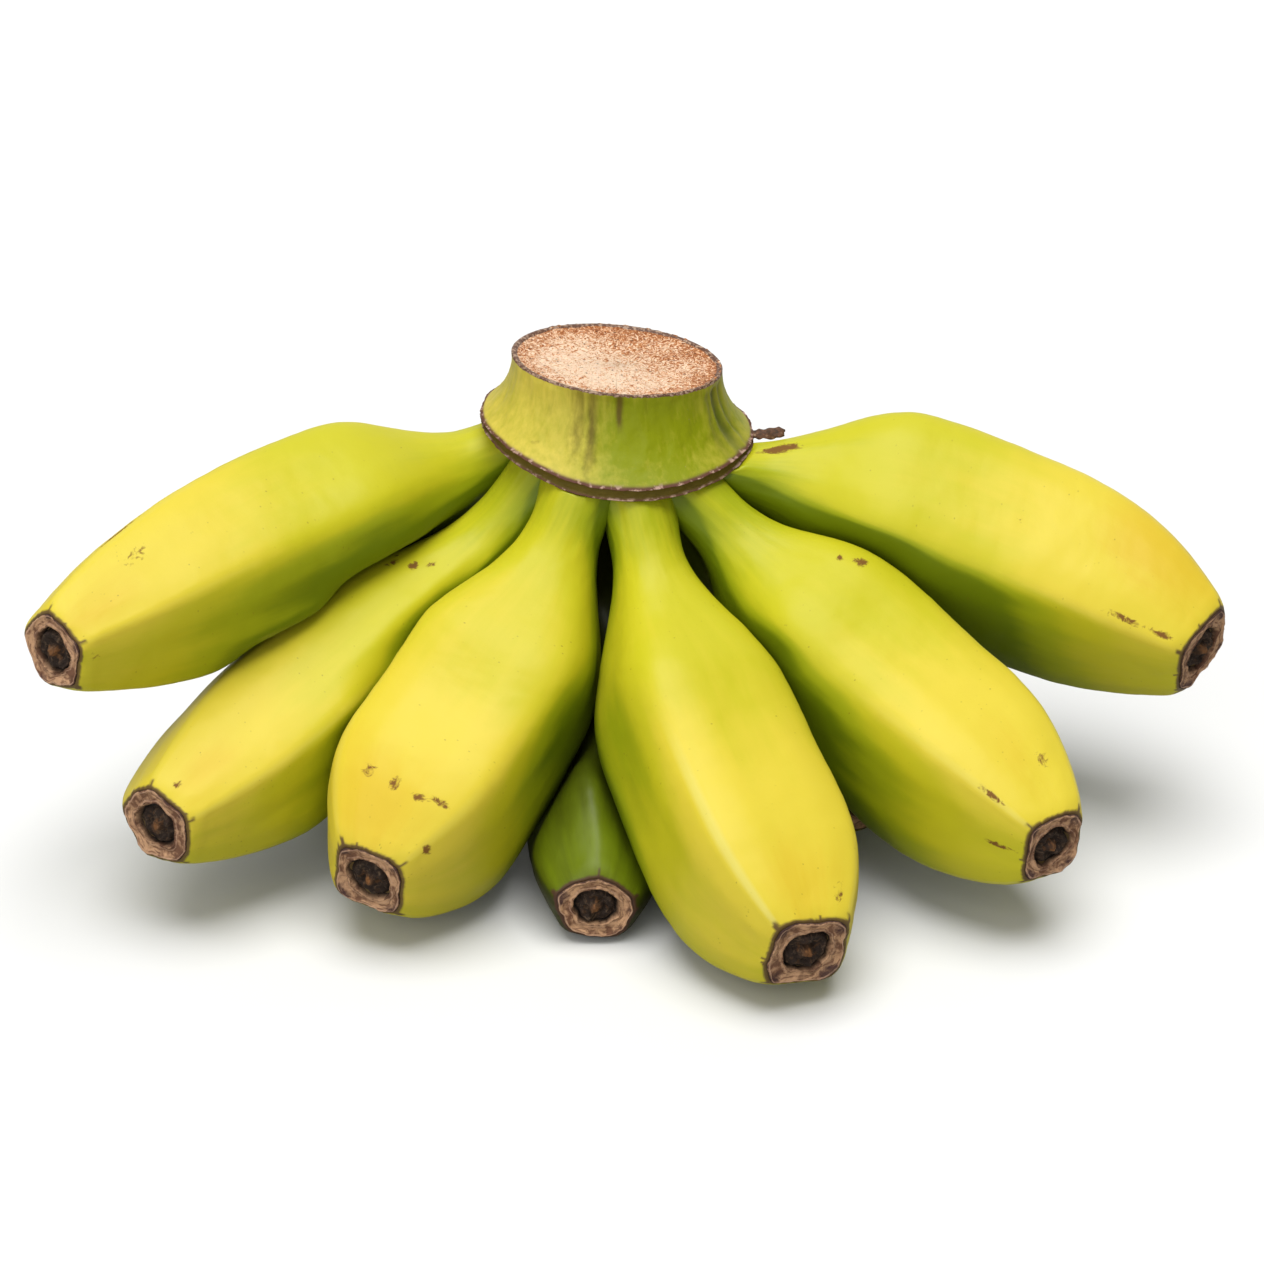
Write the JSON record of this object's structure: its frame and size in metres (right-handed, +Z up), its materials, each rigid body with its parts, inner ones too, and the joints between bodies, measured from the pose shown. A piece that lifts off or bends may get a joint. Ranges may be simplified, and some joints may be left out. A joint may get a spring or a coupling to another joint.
{
  "type": "hand of burro bananas",
  "caption": "Hand of short, thick, angular bananas in two rows, joined at a cut crown and lying on the undersides of its fingers.",
  "frame": {"origin": "middle of the bounding box, at the height of the surface that the hand rests on", "axes": "+Z up through the cut crown, -Y towards the fingertips, +X to the right when the tips point at the viewer"},
  "size_m": [0.268, 0.1464, 0.1072],
  "materials": {
    "peel": "waxy satin peel, green turning yellow",
    "crown": "bruised yellow-green skin round a cut stalk",
    "cut_face": "dry fibrous cut, cream and tan",
    "blossom_end": "dry corky brown",
    "bract": "dried papery brown"
  },
  "bodies": {
    "root": {"finger_front_1": "peel", "finger_front_2": "peel", "finger_front_3": "peel", "finger_front_4": "peel", "finger_front_5": "peel", "finger_front_6": "peel", "finger_back_1": "peel", "finger_back_2": "peel", "finger_back_3": "peel", "finger_back_4": "peel", "crown": "crown", "bract_stub": "bract"}
  },
  "joints": []
}
